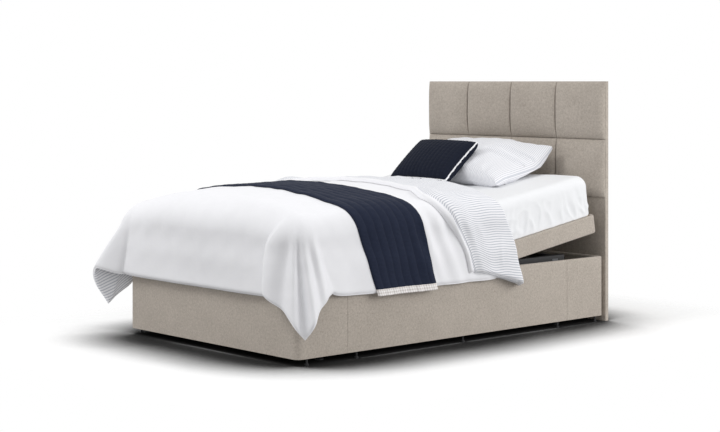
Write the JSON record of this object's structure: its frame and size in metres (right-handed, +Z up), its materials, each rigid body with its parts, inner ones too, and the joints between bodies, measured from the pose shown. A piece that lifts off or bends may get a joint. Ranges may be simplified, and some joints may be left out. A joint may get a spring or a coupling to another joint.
{
  "type": "adjustable bed",
  "caption": "Upholstered divan bed with a padded headboard, a motor-driven folding platform and made-up bedding.",
  "frame": {"origin": "middle of the headboard's back face, at floor level", "axes": "+Y out of the back of the headboard, so the foot of the bed lies towards -Y; +Z up; +X to the side nearer the viewer of the picture"},
  "size_m": [1.5063, 2.1879, 1.196],
  "materials": {
    "oatmeal_weave": "flat-woven upholstery, matt",
    "white_cotton": "white cotton sheet and filled bedding, matt",
    "stripe_cotton": "fine grey and white stripes, matt",
    "navy_quilt": "channel-quilted navy cotton, matt",
    "black_steel": "powder-coated, satin",
    "zinc_steel": "zinc-plated, satin",
    "birch_board": "sanded board, matt",
    "black_plastic": "moulded, fine grain"
  },
  "bodies": {
    "base": {"surround_foot": "oatmeal_weave", "surround_side_near": "oatmeal_weave", "surround_side_far": "oatmeal_weave", "surround_head": "oatmeal_weave", "surround_brackets": "zinc_steel", "surround_glides": "black_plastic", "headboard_panel": "oatmeal_weave", "headboard_pads_upper": "oatmeal_weave", "headboard_pads_lower": "oatmeal_weave", "headboard_bolts": "zinc_steel", "chassis_side_tubes": "black_steel", "chassis_cross_tubes": "black_steel", "chassis_legs": "black_steel", "chassis_feet": "black_plastic", "side_plates": "black_steel", "seat_frame": "black_steel", "hinge_pins": "zinc_steel", "seat_board": "birch_board", "seat_rails": "oatmeal_weave", "mattress_seat": "white_cotton", "back_actuator": "black_plastic", "leg_actuator": "black_plastic", "actuator_brackets": "black_steel", "control_box": "black_plastic"},
    "back": {"back_frame": "black_steel", "back_board": "birch_board", "back_rails": "oatmeal_weave", "back_end_rail": "oatmeal_weave", "mattress_back": "white_cotton", "mattress_back_bend": "white_cotton", "pillow": "stripe_cotton", "cushion": "navy_quilt", "duvet_turndown": "stripe_cotton"},
    "thigh": {"thigh_frame": "black_steel", "thigh_board": "birch_board", "thigh_rails": "oatmeal_weave", "knee_pins": "zinc_steel", "mattress_thigh": "white_cotton", "mattress_thigh_bend": "white_cotton", "duvet_middle": "white_cotton", "throw": "navy_quilt"},
    "leg": {"leg_frame": "black_steel", "leg_board": "birch_board", "leg_rails": "oatmeal_weave", "foot_end_rail": "oatmeal_weave", "mattress_leg": "white_cotton", "duvet_foot": "white_cotton"},
    "leg_axle": {"leg_wheels": "black_plastic"},
    "back_rod": {"back_push_rod": "zinc_steel"},
    "leg_rod": {"leg_push_rod": "zinc_steel"}
  },
  "joints": [
    {"name": "back_tilt", "type": "hinge", "parent": "base", "child": "back", "pos_m": [0, -0.82, 0.385], "axis": [1, 0, 0], "range_deg": [-9, 51], "deforming": ["mattress_back_bend", "duvet_turndown"]},
    {"name": "thigh_tilt", "type": "hinge", "parent": "base", "child": "thigh", "pos_m": [0, -1.07, 0.385], "axis": [-1, 0, 0], "range_deg": [0, 30], "deforming": ["mattress_thigh_bend", "duvet_middle"]},
    {"name": "leg_tilt", "type": "hinge", "parent": "thigh", "child": "leg", "pos_m": [0, -1.4, 0.385], "axis": [-1, 0, 0], "range_deg": [-48, 0], "deforming": ["throw", "duvet_foot"]},
    {"name": "leg_wheel_spin", "type": "hinge", "parent": "leg", "child": "leg_axle", "pos_m": [0, -1.96, 0.3583], "axis": [1, 0, 0], "continuous": true},
    {"name": "back_rod_slide", "type": "slide", "parent": "base", "child": "back_rod", "axis": [0, 1, 0], "range_m": [-0.0174, 0.0982]},
    {"name": "leg_rod_slide", "type": "slide", "parent": "base", "child": "leg_rod", "axis": [0, -1, 0], "range_m": [0, 0.0578]}
  ],
  "couplings": [
    {"joint": "leg_tilt", "follows": "thigh_tilt", "ratio": -1.568},
    {"joint": "back_rod_slide", "follows": "back_tilt", "m_per_rad": 0.11},
    {"joint": "leg_rod_slide", "follows": "thigh_tilt", "m_per_rad": 0.11}
  ]
}
